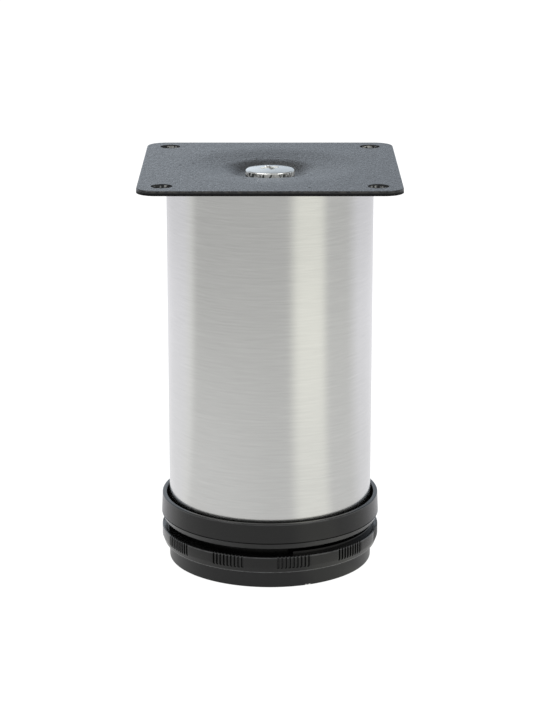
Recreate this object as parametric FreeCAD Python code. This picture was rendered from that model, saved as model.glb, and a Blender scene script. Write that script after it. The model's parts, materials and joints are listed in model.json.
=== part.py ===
import FreeCAD, Part
import math
import os

# Height adjustable table leg. Millimetres, +Z up, origin at the centre of the pad's underside.
# The photographed front is the -Y side; turns are counted from the front towards +X.

# Tube
TUBE_RADIUS = 30.0
TUBE_WALL = 1.2
TUBE_LENGTH = 102.8
TUBE_EDGE = 0.15
TUBE_BORE = TUBE_RADIUS - TUBE_WALL

# Socket: collar round the tube end, sleeve in the tube bore, boss for the nut
COLLAR_RADIUS = TUBE_RADIUS + 2.4
COLLAR_HEIGHT = 7.95
COLLAR_DRAFT = 0.25
COLLAR_CHAMFER_IN = 0.85
COLLAR_CHAMFER_UP = 1.95
COLLAR_LOW_RADIUS = COLLAR_RADIUS - COLLAR_CHAMFER_IN
COLLAR_RIM = 1.2
COLLAR_LEAD_IN = 2.4
COLLAR_CLEARANCE = 0.3
COLLAR_FLOOR = 2.15
COLLAR_EDGE = 0.8
SLEEVE_FIT = 0.05
SLEEVE_RADIUS = TUBE_BORE - SLEEVE_FIT
SLEEVE_WALL = 2.17
SLEEVE_LENGTH = 24.8
SLEEVE_CHAMFER = 0.8
SOCKET_BORE = SLEEVE_RADIUS - SLEEVE_WALL
SOCKET_WEB = 3.0
BOSS_WALL = 2.5
BOSS_DROP = 9.0

# Adjusting foot
STEM_FIT = 0.08
STEM_RADIUS = SOCKET_BORE - STEM_FIT
STEM_WALL = 2.2
STEM_LENGTH = 22.0
STEM_CHAMFER = 0.8
BAND_RADIUS = COLLAR_RADIUS - 0.1
BAND_TAPER = 0.8
BAND_FOOT_RADIUS = BAND_RADIUS - BAND_TAPER
BAND_HEIGHT = 5.2
BAND_STRAIGHT = 3.0
BAND_EDGE = 0.3
BAND_LOW_EDGE = 0.8
FOOT_WEB = 2.4
FOOT_WALL = 1.9
FOOT_HUB_WALL = 3.0
FOOT_RIB_COUNT = 10
FOOT_RIB = 1.8

# Grip grooves, cut into the band from its top edge in opposite sets of groups
GRIP_SETS = 2
GRIP_GROUPS = 5
GRIP_TURN = 12.2
GRIP_STEP = 34.6
GRIP_GROOVES = 9
GRIP_PITCH = 2.0
GRIP_LENGTH = 3.5
GRIP_DEPTH = 0.6
GRIP_MOUTH = 0.72
GRIP_FLOOR = 0.36

# Stop lands on top of the foot, under the collar
LAND_COUNT = 2
LAND_TURN = 12.5
LAND_SWEEP = 90.0
LAND_RADIUS = COLLAR_LOW_RADIUS - 0.75
LAND_WIDTH = 3.2
LAND_HEIGHT = 1.1

# Gap between foot and collar as drawn
COLLAR_GAP = 2.05

# Glide pad
PAD_RADIUS = BAND_FOOT_RADIUS - 1.35
PAD_HEIGHT = 4.7
PAD_EDGE = 0.3
PAD_THRUST_GAP = 0.1
PAD_GROOVE_RADII = (12.0, 18.0, 24.0)
PAD_GROOVE_WIDTH = 1.6
PAD_GROOVE_DEPTH = 0.6
PAD_NICK_TURNS = (20.5, 22.4)
PAD_NICK_SIZE = 0.35

# Snap post that holds the foot on the pad
POST_RADIUS = 5.0
POST_FIT = 0.08
POST_BARB = 0.7
POST_BARB_LAND = 0.8
POST_TAPER = 1.6
POST_WALL = 2.4
POST_SLOT = 1.2
POST_PLAY = 0.15

# Tie screw and nut
SCREW_RADIUS = 4.0
SCREW_PAST_NUT = 2.1
SCREW_HOLE_GAP = 0.3
SCREW_HOLE = SCREW_RADIUS + SCREW_HOLE_GAP
SCREW_POINT = 0.8
HEAD_RADIUS = 7.1
HEAD_RIM = 1.2
HEAD_SHOULDER = 0.45
HEAD_DOME = 0.6
HEAD_HEIGHT = HEAD_RIM + HEAD_SHOULDER + HEAD_DOME
HEAD_SUNK = 0.5
RECESS_TURN = 20.0
RECESS_SPAN = 5.8
RECESS_WING = 1.5
RECESS_DEPTH = 1.8
RECESS_TAPER = 0.6
NUT_FLATS = 13.0
NUT_HEIGHT = 6.5
NUT_CHAMFER = 0.5
NUT_GAP = 0.1
NUT_THREAD_GAP = 0.05
NUT_CORNER = NUT_FLATS / 2.0 / math.cos(math.pi / 6)

# Mounting plate: flat rim on the tube, shallow sag inside it, dish for the screw head
PLATE_SIDE = 74.0
PLATE_THICKNESS = 1.4
PLATE_CORNER = 5.5
PLATE_EDGE = 0.35
HOLE_RADIUS = 3.0
HOLE_EDGE_DISTANCE = 7.0
HOLE_SPACING = PLATE_SIDE - 2.0 * HOLE_EDGE_DISTANCE
SAG_RADIUS = TUBE_BORE - 4.0
SAG_BLEND = 90.0
SAG_DEPTH = 1.0
DISH_FLOOR_RADIUS = HEAD_RADIUS + 1.9
DISH_FLOOR_BEND = 1.0
DISH_MOUTH_RADIUS = DISH_FLOOR_RADIUS + 3.5
DISH_MOUTH_BEND = 11.0
DISH_DEPTH = HEAD_HEIGHT + HEAD_SUNK

# Top plug
PLUG_FIT = 0.05
PLUG_LENGTH = 15.0
PLUG_WALL = 2.0
PLUG_WEB = 2.4
PLUG_HUB_WALL = 4.2
PLUG_HUB_RISE = 1.6
PLUG_RIB_COUNT = 6
PLUG_RIB = 1.6

# Edge rounds of the mouldings
MOULD_EDGE = 0.3
MOULD_FILLET = 1.0

# Levels that follow from the sizes above
FOOT_BOTTOM = PAD_HEIGHT + PAD_THRUST_GAP
BAND_TOP = FOOT_BOTTOM + BAND_HEIGHT
WEB_BOTTOM = BAND_TOP - FOOT_WEB
COLLAR_BOTTOM = BAND_TOP + COLLAR_GAP
TUBE_BOTTOM = COLLAR_BOTTOM + COLLAR_FLOOR
TUBE_TOP = TUBE_BOTTOM + TUBE_LENGTH
PLATE_TOP = TUBE_TOP + PLATE_THICKNESS
DISH_FLOOR_Z = PLATE_TOP - DISH_DEPTH
SOCKET_TOP = TUBE_BOTTOM + SLEEVE_LENGTH
BOSS_BOTTOM = SOCKET_TOP - SOCKET_WEB - BOSS_DROP
NUT_BOTTOM = BOSS_BOTTOM + NUT_CHAMFER
NUT_SEAT = NUT_BOTTOM + NUT_HEIGHT

ORIGIN = FreeCAD.Vector(0, 0, 0)
UP = FreeCAD.Vector(0, 0, 1)


def at_turn(radius, turn, z):
    """Point at a radius and a turn in degrees from the front towards +X."""
    angle = math.radians(turn)
    return FreeCAD.Vector(radius * math.sin(angle), -radius * math.cos(angle), z)


def corner_round(before, corner, after, radius):
    """Start, middle and end of the arc that rounds a corner of a flat outline in X and Z."""
    into = (before - corner).normalize()
    out = (after - corner).normalize()
    half = into.getAngle(out) / 2.0
    setback = radius / math.tan(half)
    bisector = (into + out).normalize()
    centre = corner + bisector * (radius / math.sin(half))
    return corner + into * setback, centre - bisector * radius, corner + out * setback


def turned(corners):
    """Solid of revolution about Z from (radius, height) corners; a third value rounds the corner."""
    points = [FreeCAD.Vector(c[0], 0, c[1]) for c in corners]
    rounds = [c[2] if len(c) > 2 else 0.0 for c in corners]
    arcs = []
    for i, radius in enumerate(rounds):
        after = points[(i + 1) % len(points)]
        if radius > 0:
            arcs.append(corner_round(points[i - 1], points[i], after, radius))
        else:
            arcs.append((points[i], points[i], points[i]))
    edges = []
    for i, (start, middle, end) in enumerate(arcs):
        if rounds[i] > 0:
            edges.append(Part.Arc(start, middle, end).toShape())
        following = arcs[(i + 1) % len(arcs)][0]
        if end.distanceToPoint(following) > 1e-6:
            edges.append(Part.makeLine(end, following))
    return Part.Face(Part.Wire(edges)).revolve(ORIGIN, UP, 360)


def prism(points, height):
    """Upright solid on a closed flat outline."""
    wire = Part.makePolygon(points + [points[0]])
    return Part.Face(wire).extrude(UP * height)


def hexagon(flats, z, height):
    """Upright hexagon with a given size across flats."""
    radius = flats / 2.0 / math.cos(math.pi / 6)
    return prism([at_turn(radius, 60.0 * i, z) for i in range(6)], height)


def ribs(count, thickness, inner, outer, z, height):
    """Radial ribs at equal turns between two radii."""
    rib = Part.makeBox(outer - inner, thickness, height, FreeCAD.Vector(inner, -thickness / 2.0, z))
    turned_ribs = []
    for i in range(count):
        copy = rib.copy()
        copy.rotate(ORIGIN, UP, 360.0 * i / count)
        turned_ribs.append(copy)
    return turned_ribs


def sheet_offset(path, thickness):
    """Underside of a turned sheet: its upper line moved down and out by the thickness."""
    normals = []
    for (r0, z0), (r1, z1) in zip(path, path[1:]):
        length = math.hypot(r1 - r0, z1 - z0)
        normals.append(((z0 - z1) / length, (r1 - r0) / length))
    lower = []
    for i, (r, z) in enumerate(path):
        before = normals[max(i - 1, 0)]
        after = normals[min(i, len(normals) - 1)]
        scale = thickness / (1.0 + before[0] * after[0] + before[1] * after[1])
        lower.append((r + (before[0] + after[0]) * scale, z + (before[1] + after[1]) * scale))
    return lower


def make_mounting_plate():
    """Blanked square sheet, middle pressed down in a shallow sag and a dish for the screw head."""
    half = PLATE_SIDE / 2.0
    sheet = Part.makeBox(PLATE_SIDE, PLATE_SIDE, PLATE_THICKNESS, FreeCAD.Vector(-half, -half, TUBE_TOP))
    upright = [e for e in sheet.Edges if abs(e.Vertexes[0].Z - e.Vertexes[1].Z) > 1e-6]
    sheet = sheet.makeFillet(PLATE_CORNER, upright)
    rim = [e for e in sheet.Edges if e.BoundBox.ZMin > PLATE_TOP - 1e-6]
    sheet = sheet.makeFillet(PLATE_EDGE, rim)
    for x in (-1, 1):
        for y in (-1, 1):
            centre = FreeCAD.Vector(x * HOLE_SPACING / 2.0, y * HOLE_SPACING / 2.0, TUBE_TOP)
            sheet = sheet.cut(Part.makeCylinder(HOLE_RADIUS, PLATE_THICKNESS, centre))
    outer = SAG_RADIUS + SAG_BLEND * math.tan(math.atan2(SAG_DEPTH, SAG_RADIUS - DISH_MOUTH_RADIUS) / 2.0)
    path = [(SCREW_HOLE, DISH_FLOOR_Z)]
    path.append((DISH_FLOOR_RADIUS, DISH_FLOOR_Z))
    path.append((DISH_MOUTH_RADIUS, PLATE_TOP - SAG_DEPTH))
    path.append((SAG_RADIUS, PLATE_TOP))
    path.append((outer + PLATE_EDGE, PLATE_TOP))
    under = sheet_offset(path[::-1], PLATE_THICKNESS)[::-1]
    bends = (0.0, DISH_FLOOR_BEND, DISH_MOUTH_BEND, SAG_BLEND, 0.0)
    under_bends = (0.0, DISH_FLOOR_BEND + PLATE_THICKNESS, DISH_MOUTH_BEND - PLATE_THICKNESS,
                   SAG_BLEND - PLATE_THICKNESS, 0.0)
    section = [(r, z, b) for (r, z), b in zip(path, bends)]
    section += [(r, z, b) for (r, z), b in reversed(list(zip(under, under_bends)))]
    dish = turned(section)
    opening = Part.makeCylinder(path[-1][0], PLATE_THICKNESS, FreeCAD.Vector(0, 0, TUBE_TOP))
    return sheet.cut(opening).fuse(dish).removeSplitter()


def make_tie_screw():
    """Long screw with a low domed head, round at its shoulder, and a cross recess."""
    seat = DISH_FLOOR_Z
    crown = (HEAD_RADIUS ** 2 + HEAD_DOME ** 2) / (2.0 * HEAD_DOME)
    top = seat + HEAD_HEIGHT
    ball = Part.makeSphere(crown, FreeCAD.Vector(0, 0, top - crown))
    blank = Part.makeCylinder(HEAD_RADIUS, HEAD_HEIGHT, FreeCAD.Vector(0, 0, seat))
    head = ball.common(blank)
    shoulder = [e for e in head.Edges if abs(e.BoundBox.ZMin - (top - HEAD_DOME)) < 1e-4 and e.Closed]
    head = head.makeFillet(HEAD_SHOULDER, shoulder)
    end = NUT_BOTTOM - SCREW_PAST_NUT
    shank = turned([(0, seat), (SCREW_RADIUS, seat), (SCREW_RADIUS, end + SCREW_POINT),
                    (SCREW_RADIUS - SCREW_POINT, end), (0, end)])
    screw = head.fuse(shank).removeSplitter()
    floor = top - RECESS_DEPTH
    for turn in (RECESS_TURN, RECESS_TURN + 90.0):
        levels = []
        for z, span, wing in ((floor, RECESS_SPAN * RECESS_TAPER, RECESS_WING * RECESS_TAPER),
                              (top, RECESS_SPAN, RECESS_WING)):
            corners = [(-span, -wing), (span, -wing), (span, wing), (-span, wing)]
            points = [FreeCAD.Vector(x / 2.0, y / 2.0, z) for x, y in corners]
            levels.append(Part.makePolygon(points + [points[0]]))
        wing_cut = Part.makeLoft(levels, True)
        wing_cut.rotate(ORIGIN, UP, turn)
        screw = screw.cut(wing_cut)
    return screw


def make_leg_tube():
    """Plain cut length of round tube."""
    section = [(TUBE_BORE, TUBE_BOTTOM), (TUBE_RADIUS - TUBE_EDGE, TUBE_BOTTOM)]
    section += [(TUBE_RADIUS, TUBE_BOTTOM + TUBE_EDGE), (TUBE_RADIUS, TUBE_TOP - TUBE_EDGE)]
    section += [(TUBE_RADIUS - TUBE_EDGE, TUBE_TOP), (TUBE_BORE, TUBE_TOP)]
    return turned(section)


def make_top_plug():
    """Moulded plug: ring in the tube bore, web and ribs, hub under the plate's dish."""
    radius = TUBE_BORE - PLUG_FIT
    inner = radius - PLUG_WALL
    hub_top = DISH_FLOOR_Z - PLATE_THICKNESS
    hub = SCREW_HOLE + PLUG_HUB_WALL
    web_top = hub_top - PLUG_HUB_RISE
    web_bottom = web_top - PLUG_WEB
    bottom = TUBE_TOP - PLUG_LENGTH
    ring_top = TUBE_TOP - SAG_DEPTH
    section = [(SCREW_HOLE, hub_top), (SCREW_HOLE, bottom), (hub, bottom)]
    section += [(hub, web_bottom), (inner, web_bottom), (inner, bottom)]
    section += [(radius, bottom, MOULD_EDGE), (radius, ring_top), (inner, ring_top), (inner, web_top)]
    section += [(hub, web_top), (hub, hub_top)]
    plug = turned(section)
    reach = PLUG_WALL / 2.0
    under = ribs(PLUG_RIB_COUNT, PLUG_RIB, hub - reach, inner + reach, bottom, web_bottom - bottom)
    return plug.multiFuse(under).removeSplitter()


def make_foot_socket():
    """Moulded socket: collar outside the tube, sleeve inside it, web and nut boss above."""
    collar_line = COLLAR_BOTTOM + COLLAR_CHAMFER_UP
    collar_top = COLLAR_BOTTOM + COLLAR_HEIGHT
    top_radius = COLLAR_RADIUS - COLLAR_DRAFT
    pocket_wall = TUBE_RADIUS + COLLAR_CLEARANCE
    web_bottom = SOCKET_TOP - SOCKET_WEB
    boss = NUT_CORNER + BOSS_WALL
    section = [(SOCKET_BORE, COLLAR_BOTTOM), (COLLAR_LOW_RADIUS, COLLAR_BOTTOM, COLLAR_EDGE)]
    section += [(COLLAR_RADIUS, collar_line), (top_radius, collar_top, MOULD_EDGE)]
    section += [(top_radius - COLLAR_RIM, collar_top, MOULD_EDGE)]
    section += [(pocket_wall, collar_top - COLLAR_LEAD_IN), (pocket_wall, TUBE_BOTTOM)]
    section += [(SLEEVE_RADIUS, TUBE_BOTTOM), (SLEEVE_RADIUS, SOCKET_TOP - SLEEVE_CHAMFER)]
    section += [(SLEEVE_RADIUS - SLEEVE_CHAMFER, SOCKET_TOP), (SCREW_HOLE, SOCKET_TOP)]
    section += [(SCREW_HOLE, BOSS_BOTTOM), (boss, BOSS_BOTTOM, MOULD_EDGE)]
    section += [(boss, web_bottom, MOULD_FILLET), (SOCKET_BORE, web_bottom, MOULD_FILLET)]
    socket = turned(section)
    pocket = hexagon(NUT_FLATS + 2.0 * NUT_GAP, BOSS_BOTTOM, NUT_SEAT - BOSS_BOTTOM)
    return socket.cut(pocket)


def make_socket_nut():
    """Hex nut with chamfered corners, tight under the ceiling of its pocket."""
    blank = hexagon(NUT_FLATS, NUT_BOTTOM, NUT_HEIGHT)
    face = NUT_FLATS / 2.0
    barrel = turned([(SCREW_RADIUS + NUT_THREAD_GAP, NUT_BOTTOM), (face, NUT_BOTTOM),
                     (NUT_CORNER, NUT_BOTTOM + NUT_CHAMFER), (NUT_CORNER, NUT_SEAT - NUT_CHAMFER),
                     (face, NUT_SEAT), (SCREW_RADIUS + NUT_THREAD_GAP, NUT_SEAT)])
    return blank.common(barrel)


def centred(count, step):
    """Equal steps on both sides of zero."""
    return [(i - (count - 1) / 2.0) * step for i in range(count)]


def grip_groove(turn):
    """Cutter for one upright groove, wider at its mouth than at its floor."""
    over = 1.0
    depth = GRIP_DEPTH + over
    widen = (GRIP_MOUTH - GRIP_FLOOR) / GRIP_DEPTH
    mouth = GRIP_FLOOR + widen * depth
    floor = BAND_RADIUS - GRIP_DEPTH
    z = BAND_TOP - GRIP_LENGTH
    corners = [(-GRIP_FLOOR, -floor), (GRIP_FLOOR, -floor), (mouth, -floor - depth), (-mouth, -floor - depth)]
    cutter = prism([FreeCAD.Vector(x / 2.0, y, z) for x, y in corners], GRIP_LENGTH + over)
    cutter.rotate(ORIGIN, UP, turn)
    return cutter


def make_adjusting_foot():
    """Moulded foot: hollow stem, ribbed flange, grip grooves and stop lands."""
    hub = POST_RADIUS + POST_FIT
    hub_out = hub + FOOT_HUB_WALL
    stem_bore = STEM_RADIUS - STEM_WALL
    stem_top = BAND_TOP + STEM_LENGTH
    band_line = BAND_TOP - BAND_STRAIGHT
    wall_in = BAND_FOOT_RADIUS - FOOT_WALL
    section = [(hub, FOOT_BOTTOM), (hub, BAND_TOP), (stem_bore, BAND_TOP, MOULD_FILLET)]
    section += [(stem_bore, stem_top), (STEM_RADIUS - STEM_CHAMFER, stem_top)]
    section += [(STEM_RADIUS, stem_top - STEM_CHAMFER)]
    section += [(STEM_RADIUS, BAND_TOP), (BAND_RADIUS, BAND_TOP, BAND_EDGE), (BAND_RADIUS, band_line)]
    section += [(BAND_FOOT_RADIUS, FOOT_BOTTOM, BAND_LOW_EDGE), (wall_in, FOOT_BOTTOM), (wall_in, WEB_BOTTOM)]
    section += [(STEM_RADIUS, WEB_BOTTOM), (STEM_RADIUS, FOOT_BOTTOM), (stem_bore, FOOT_BOTTOM)]
    section += [(stem_bore, WEB_BOTTOM), (hub_out, WEB_BOTTOM), (hub_out, FOOT_BOTTOM)]
    foot = turned(section)
    reach = FOOT_WALL / 2.0
    depth = WEB_BOTTOM - FOOT_BOTTOM
    under = ribs(FOOT_RIB_COUNT, FOOT_RIB, hub_out - reach, wall_in + reach, FOOT_BOTTOM, depth)
    land_in = LAND_RADIUS - LAND_WIDTH
    lands = []
    for i in range(LAND_COUNT):
        ring = Part.makeCylinder(LAND_RADIUS, LAND_HEIGHT, FreeCAD.Vector(0, 0, BAND_TOP), UP, LAND_SWEEP)
        bore = Part.makeCylinder(land_in, LAND_HEIGHT, FreeCAD.Vector(0, 0, BAND_TOP))
        land = ring.cut(bore)
        land.rotate(ORIGIN, UP, LAND_TURN - 90.0 + 360.0 * i / LAND_COUNT)
        lands.append(land)
    foot = foot.multiFuse(under + lands).removeSplitter()
    cutters = []
    for i in range(GRIP_SETS):
        for group in centred(GRIP_GROUPS, GRIP_STEP):
            for groove in centred(GRIP_GROOVES, GRIP_PITCH):
                cutters.append(grip_groove(GRIP_TURN + 360.0 * i / GRIP_SETS + group + groove))
    return foot.cut(Part.makeCompound(cutters))


def make_glide_pad():
    """Moulded pad: grooved disc with a slotted snap post."""
    barb = BAND_TOP + POST_PLAY
    barb_top = barb + POST_BARB_LAND
    tip = barb_top + POST_TAPER
    bore = POST_RADIUS - POST_WALL
    section = [(0, 0), (PAD_RADIUS, 0, PAD_EDGE), (PAD_RADIUS, PAD_HEIGHT, PAD_EDGE)]
    section += [(POST_RADIUS, PAD_HEIGHT), (POST_RADIUS, barb), (POST_RADIUS + POST_BARB, barb)]
    section += [(POST_RADIUS + POST_BARB, barb_top)]
    section += [(POST_RADIUS - POST_BARB, tip), (bore, tip), (bore, PAD_HEIGHT), (0, PAD_HEIGHT)]
    pad = turned(section)
    for radius in PAD_GROOVE_RADII:
        outer = radius + PAD_GROOVE_WIDTH / 2.0
        inner = radius - PAD_GROOVE_WIDTH / 2.0
        groove = turned([(inner, -1.0), (outer, -1.0), (outer, PAD_GROOVE_DEPTH), (inner, PAD_GROOVE_DEPTH)])
        pad = pad.cut(groove)
    reach = POST_RADIUS + POST_BARB + 1.0
    for i in range(2):
        slot = Part.makeBox(2.0 * reach, POST_SLOT, tip, FreeCAD.Vector(-reach, -POST_SLOT / 2.0, PAD_HEIGHT))
        slot.rotate(ORIGIN, UP, 45.0 + 90.0 * i)
        pad = pad.cut(slot)
    for turn in PAD_NICK_TURNS:
        nick = Part.makeSphere(PAD_NICK_SIZE, at_turn(PAD_RADIUS, turn, 0))
        pad = pad.cut(nick)
    return pad


MAKERS = {
    "mounting_plate": make_mounting_plate,
    "tie_screw": make_tie_screw,
    "leg_tube": make_leg_tube,
    "top_plug": make_top_plug,
    "foot_socket": make_foot_socket,
    "socket_nut": make_socket_nut,
    "adjusting_foot": make_adjusting_foot,
    "glide_pad": make_glide_pad,
}

os.makedirs("parts", exist_ok=True)
for node, make in MAKERS.items():
    shape = make()
    if len(shape.Solids) != 1 or not shape.isValid():
        raise ValueError(node + " is not one valid solid")
    shape.Solids[0].exportStep("parts/" + node + ".step")
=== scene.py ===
import json
import math

import bpy
import numpy as np
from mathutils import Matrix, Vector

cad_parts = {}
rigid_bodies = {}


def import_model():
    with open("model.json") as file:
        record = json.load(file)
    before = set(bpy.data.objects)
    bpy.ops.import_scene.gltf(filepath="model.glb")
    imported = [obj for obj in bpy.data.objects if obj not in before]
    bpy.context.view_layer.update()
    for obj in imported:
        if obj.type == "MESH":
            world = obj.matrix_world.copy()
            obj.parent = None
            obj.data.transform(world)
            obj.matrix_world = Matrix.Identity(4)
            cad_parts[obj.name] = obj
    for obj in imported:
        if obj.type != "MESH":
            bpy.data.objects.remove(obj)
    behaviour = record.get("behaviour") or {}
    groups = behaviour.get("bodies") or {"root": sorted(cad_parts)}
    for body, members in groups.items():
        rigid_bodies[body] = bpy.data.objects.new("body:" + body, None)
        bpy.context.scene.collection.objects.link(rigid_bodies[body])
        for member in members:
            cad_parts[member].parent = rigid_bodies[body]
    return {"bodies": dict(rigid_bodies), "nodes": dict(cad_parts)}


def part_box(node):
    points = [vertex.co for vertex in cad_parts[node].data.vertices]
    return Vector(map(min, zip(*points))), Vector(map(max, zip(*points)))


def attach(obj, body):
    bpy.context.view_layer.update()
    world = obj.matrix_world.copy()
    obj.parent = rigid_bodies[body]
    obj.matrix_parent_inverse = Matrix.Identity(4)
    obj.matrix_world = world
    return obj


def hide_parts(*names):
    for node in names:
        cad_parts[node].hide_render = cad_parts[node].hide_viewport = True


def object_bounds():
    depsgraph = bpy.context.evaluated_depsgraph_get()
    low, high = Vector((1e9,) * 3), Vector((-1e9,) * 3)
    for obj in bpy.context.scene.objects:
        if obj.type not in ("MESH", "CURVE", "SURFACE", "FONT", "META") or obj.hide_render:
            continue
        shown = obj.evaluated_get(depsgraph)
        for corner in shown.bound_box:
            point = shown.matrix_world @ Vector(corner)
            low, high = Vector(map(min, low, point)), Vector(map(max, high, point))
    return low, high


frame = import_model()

bl_info = {
    "name": "Height Adjustable Table Leg",
    "version": (1, 0, 0),
    "blender": (4, 5, 0),
    "location": "View3D > Sidebar > Table Leg",
    "description": "Dresses the packed frame of a round table leg with a screw-in foot",
    "category": "Object",
}

MM = 0.001
FULL_TURN = 2.0 * math.pi
LEAST_LENGTH, LEAST_TURN = 1e-12, 1e-6
CAD_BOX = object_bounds()
TUBE_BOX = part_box("leg_tube")
SOCKET_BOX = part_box("foot_socket")
FOOT_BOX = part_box("adjusting_foot")
PAD_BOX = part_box("glide_pad")
SCREW_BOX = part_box("tie_screw")
NUT_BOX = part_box("socket_nut")
PLATE_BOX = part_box("mounting_plate")

# Meshes: turn between faces that makes an edge sharp, points of a round and of each shape,
# columns from a grip groove's middle in halves of its mouth, half the height of the groove's end,
# and the rings that fans close
SHARP_ANGLE = math.radians(32.0)
ARC_STEPS = 5
ARC_SUPPORT = 0.12 * MM
ROUND_COLUMNS = 288
GRIP_ACROSS = (0.42, 0.58, 0.75, 0.92, 1.15)
GRIP_END_ROWS, GRIP_END = 5, 0.15 * MM
STEM_ROWS, STEM_COLUMNS = 150, 180
LAND_COLUMNS = 46
NICK_COLUMNS, NICK_SPREAD = 19, 1.1
POST_PARTS, POST_COLUMNS = 4, 25
SHOULDER_ROWS, DOME_ROWS, RECESS_ROWS = 11, 22, 46
SHANK_ROWS, SHANK_COLUMNS = 260, 40
PAD_EYE, HEAD_EYE = 0.05 * MM, 0.04 * MM
# Small forms: depth of the parting line over its width, level share of half a thread's pitch, and
# chamfer under the screw head
PARTING_DEPTH = 0.7
THREAD_FLAT = 0.15
HEAD_CHAMFER = 0.12 * MM

# Finishes: depths under the plate's top, from nothing to full, heights of grain, roughness, and
# the drop, half widths and strengths of lines painted lighter on the plastic's edges, which are
# painted highlights and on the collar's chamfer partly wear
GLINT_ABOVE = (0.25 * MM, 0.45 * MM)
GLINT_BELOW = (1.05 * MM, 0.85 * MM)
# Depths for the plate's cut edge: painted shade at its foot, a painted highlight along its top
EDGE_SHADE = (0.50 * MM, 0.90 * MM)
EDGE_HIGHLIGHT = (0.75 * MM, 0.35 * MM)
COAT_GRAIN = 0.24 * MM
BRUSH_GRAIN = 0.0006 * MM
ZINC_GRAIN = 0.010 * MM
PLASTIC_GRAIN = 0.012 * MM
BLACK_ROUGHNESS, PAD_ROUGHNESS = 0.23, 0.31
# Lines painted lighter on the plastic's edges: painted highlights, on the collar's chamfer partly
# wear
HIGHLIGHT_DROP, HIGHLIGHT_HALF, FOOT_HIGHLIGHT_HALF = 0.25 * MM, 0.20 * MM, 0.30 * MM
HIGHLIGHT_COLLAR, HIGHLIGHT_CHAMFER, HIGHLIGHT_FOOT, HIGHLIGHT_BAND = 0.3, 0.08, 0.75, 0.5

# Studio: brightest level, then turns in degrees from the front with their levels and tints
PEAK = 1.5
STUDIO = (
    (-180.0, "back", "back_tint"), (-150.0, "back", "back_tint"),
    (-108.0, "flank", "back_tint"), (-96.0, "flank_edge", "fill_tint"),
    (-86.0, "fill", "fill_tint"), (19.0, "fill", "fill_tint"),
    (30.0, "softbox", "softbox_tint"), (56.0, "softbox", "softbox_tint"),
    (66.0, "side", "fill_tint"), (92.0, "side", "fill_tint"),
    (112.0, "flank", "back_tint"), (150.0, "back", "back_tint"),
)
# Floor: shares of the studio that it reflects near, far off and beyond, its glow to the camera,
# the glow's share of the floor, how much the near floor evens out, and its depth under the pad
FLOOR_NEAR, FLOOR_FAR, FLOOR_WALL = 0.94, 0.64, 0.74
FLOOR_GLOW, GLOW_SHARE, NEAR_SHARE = 1.16, 0.86, 0.5
FLOOR_DROP = 0.02 * MM
# Distances on the floor, and parts of a direction, between which one shade passes into another
FLOOR_FADE, WALL_FADE, NEAR_FADE = (0.05, 0.55), (0.58, 0.64), (0.32, 0.12)
BEHIND, BACKDROP_SPLIT = (0.1, 0.5), (-0.06, 0.06)
BACKDROP_TOP, OVERHEAD = (0.40, 0.60), (0.62, 0.88)
KEY_PLACE, KEY_SIZE = (-0.34, 0.19, 1.25), (0.55, 0.55)
STRIP_PLACE, STRIP_SIZE = (0.50, 0.0, 1.08), (0.70, 0.16)
NEAR_CLIP = 0.01


def length(label, description, default):
    """Length property with its default in metres."""
    return bpy.props.FloatProperty(name=label, description=description, default=default, min=0.0,
                                   precision=5, subtype="DISTANCE", unit="LENGTH")


def mm(label, description, default):
    """Length property with its default in millimetres."""
    return length(label, description, default * MM)


def turn(label, description, degrees):
    """Angle property with its default in degrees."""
    return bpy.props.FloatProperty(name=label, description=description, subtype="ANGLE",
                                   default=math.radians(degrees), unit="ROTATION")


def colour(label, description, default):
    """Linear colour property."""
    return bpy.props.FloatVectorProperty(name=label, description=description, subtype="COLOR",
                                         default=default + (1.0,), size=4, min=0.0, max=1.0)


def level(label, description, default):
    """Plain number property."""
    return bpy.props.FloatProperty(name=label, description=description, default=default, min=0.0)


def count(label, description, default):
    """Whole number property."""
    return bpy.props.IntProperty(name=label, description=description, default=default, min=1)


class TubeSizes(bpy.types.PropertyGroup):
    """Sizes of the tube."""
    radius: length("Radius", "Outside radius", TUBE_BOX[1].x)
    wall: mm("Wall", "Thickness of the wall", 1.2)
    edge: mm("Edge", "Round on the cut ends", 0.15)
    bottom: length("Bottom", "Height of the lower end", TUBE_BOX[0].z)
    top: length("Top", "Height of the upper end", TUBE_BOX[1].z)


class SocketSizes(bpy.types.PropertyGroup):
    """Sizes of the moulded socket in the tube's lower end."""
    radius: length("Collar radius", "Largest radius of the collar", SOCKET_BOX[1].x)
    bottom: length("Bottom", "Underside of the collar", SOCKET_BOX[0].z)
    top: length("Top", "Top of the sleeve", SOCKET_BOX[1].z)
    collar: mm("Collar height", "Height of the collar", 7.95)
    draft: mm("Draft", "How much the collar narrows", 0.25)
    chamfer_in: mm("Chamfer in", "Width of the collar's lower chamfer", 0.85)
    chamfer_up: mm("Chamfer up", "Height of the collar's lower chamfer", 1.95)
    rim: mm("Rim", "Flat width of the top rim", 1.2)
    lead_in: mm("Lead-in", "Depth of the slope inside the rim", 2.4)
    clearance: mm("Clearance", "Gap between collar and tube", 0.3)
    sleeve: mm("Sleeve radius", "Outside radius of the sleeve", 28.75)
    bore: mm("Bore", "Bore for the foot's stem", 26.58)
    chamfer: mm("Sleeve chamfer", "Chamfer at the top of the sleeve", 0.8)
    web: mm("Web", "Thickness of the web", 3.0)
    boss: mm("Boss radius", "Radius of the boss round the nut", 10.006)
    boss_drop: mm("Boss drop", "Depth of the boss under the web", 9.0)
    hole: mm("Screw hole", "Hole for the tie screw", 4.3)
    nut_gap: mm("Nut gap", "Gap round the nut's flats", 0.1)
    edge: mm("Edge", "Round on moulded edges", 0.3)
    low_edge: mm("Low edge", "Round on the collar's lower edge", 0.8)
    parting: mm("Parting line", "Width of the line above the chamfer", 0.30)
    fillet: mm("Fillet", "Fillet in moulded corners", 1.0)


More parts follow.
